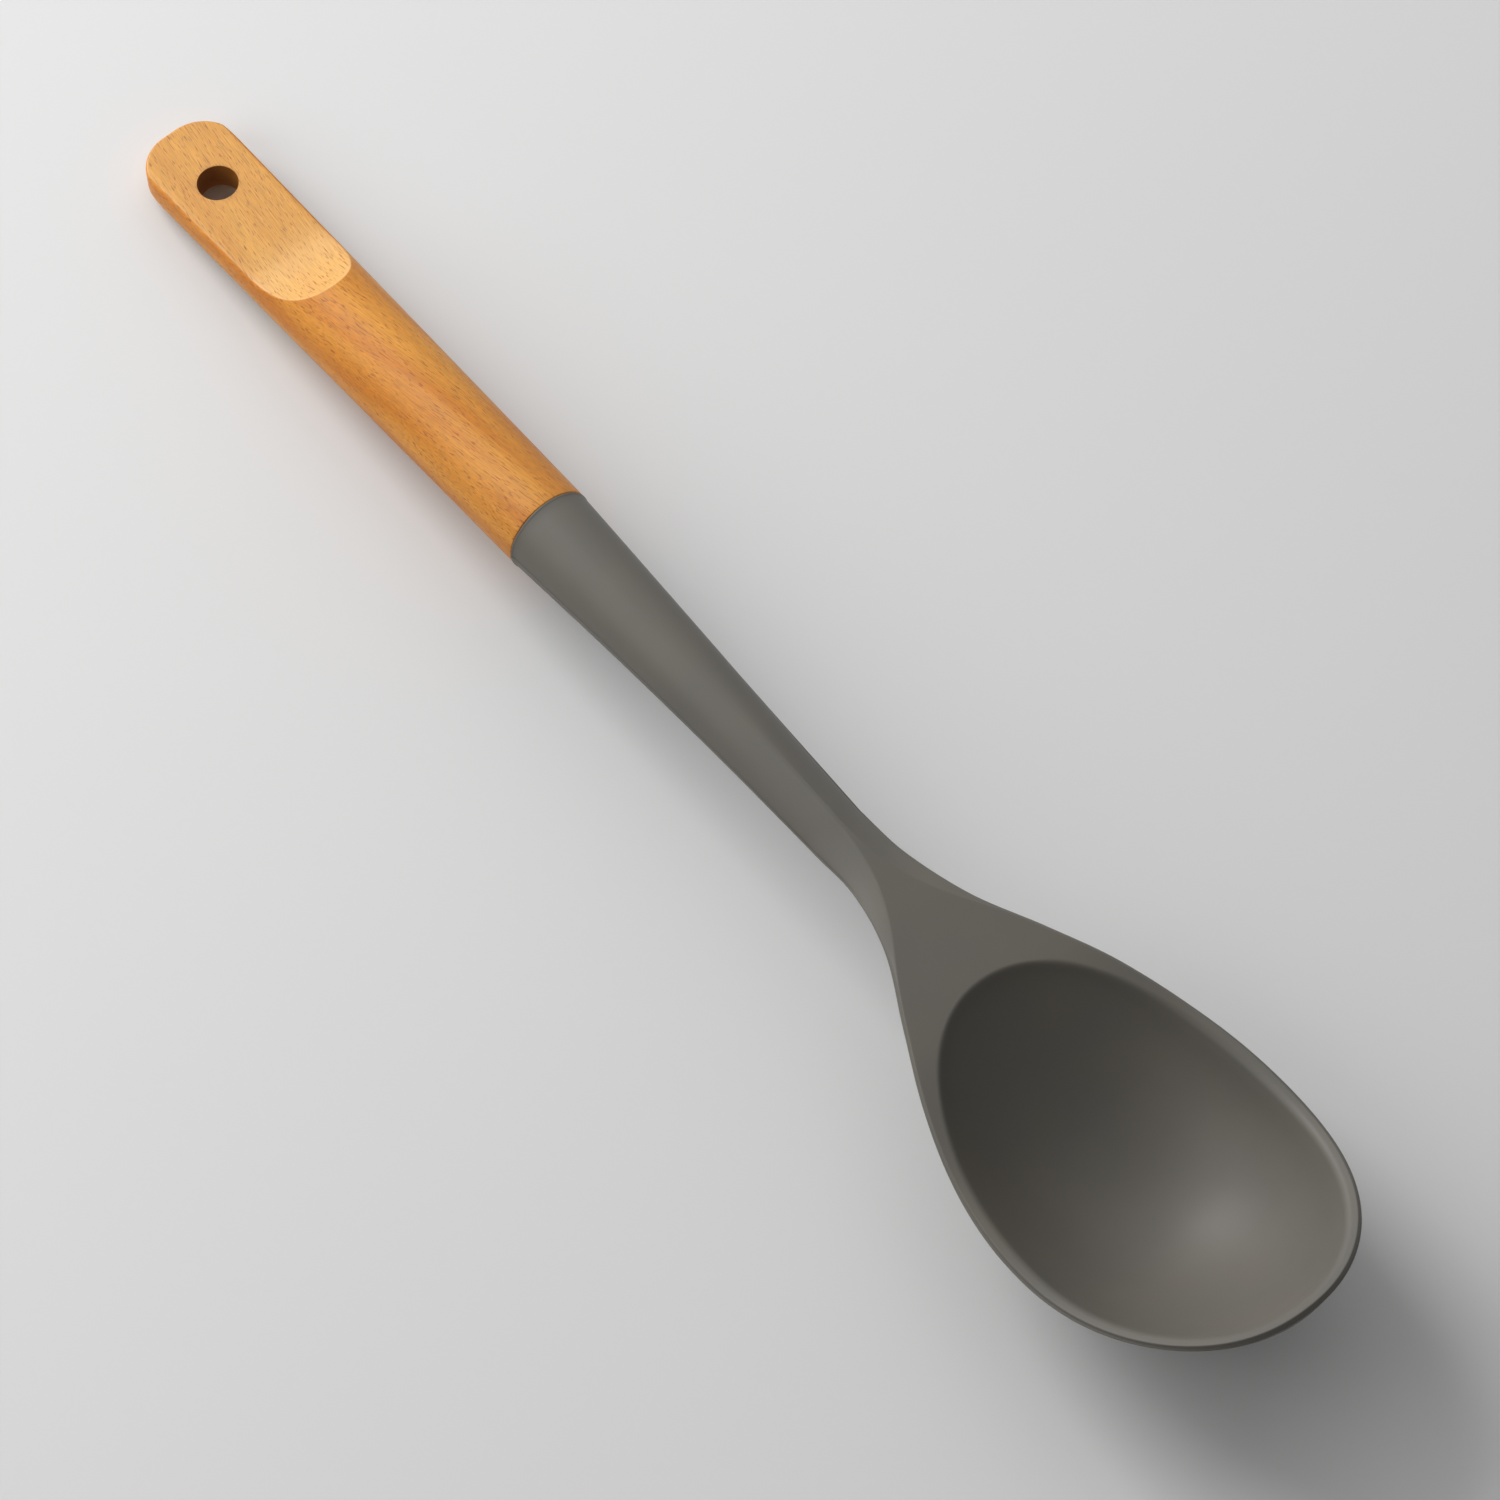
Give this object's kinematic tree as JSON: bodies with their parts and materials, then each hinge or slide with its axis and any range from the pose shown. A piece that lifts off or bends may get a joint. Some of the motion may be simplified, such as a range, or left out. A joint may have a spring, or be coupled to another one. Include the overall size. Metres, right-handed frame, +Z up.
{
  "type": "spoon",
  "caption": "Cooking spoon with a deep egg-shaped silicone bowl and stem on a turned beech handle, flattened and drilled at its end for hanging.",
  "frame": {"origin": "middle of the spoon's footprint, on the table it lies on", "axes": "+X from the hanging end to the bowl's tip, +Y to the left seen from the hanging end, +Z up, out of the bowl"},
  "size_m": [0.3344, 0.0622, 0.0368],
  "materials": {
    "beech": "oiled, satin",
    "nylon": "moulded, matt",
    "silicone": "matt, fine mould texture"
  },
  "bodies": {
    "root": {"handle": "beech", "core": "nylon", "silicone_head": "silicone"}
  },
  "joints": []
}
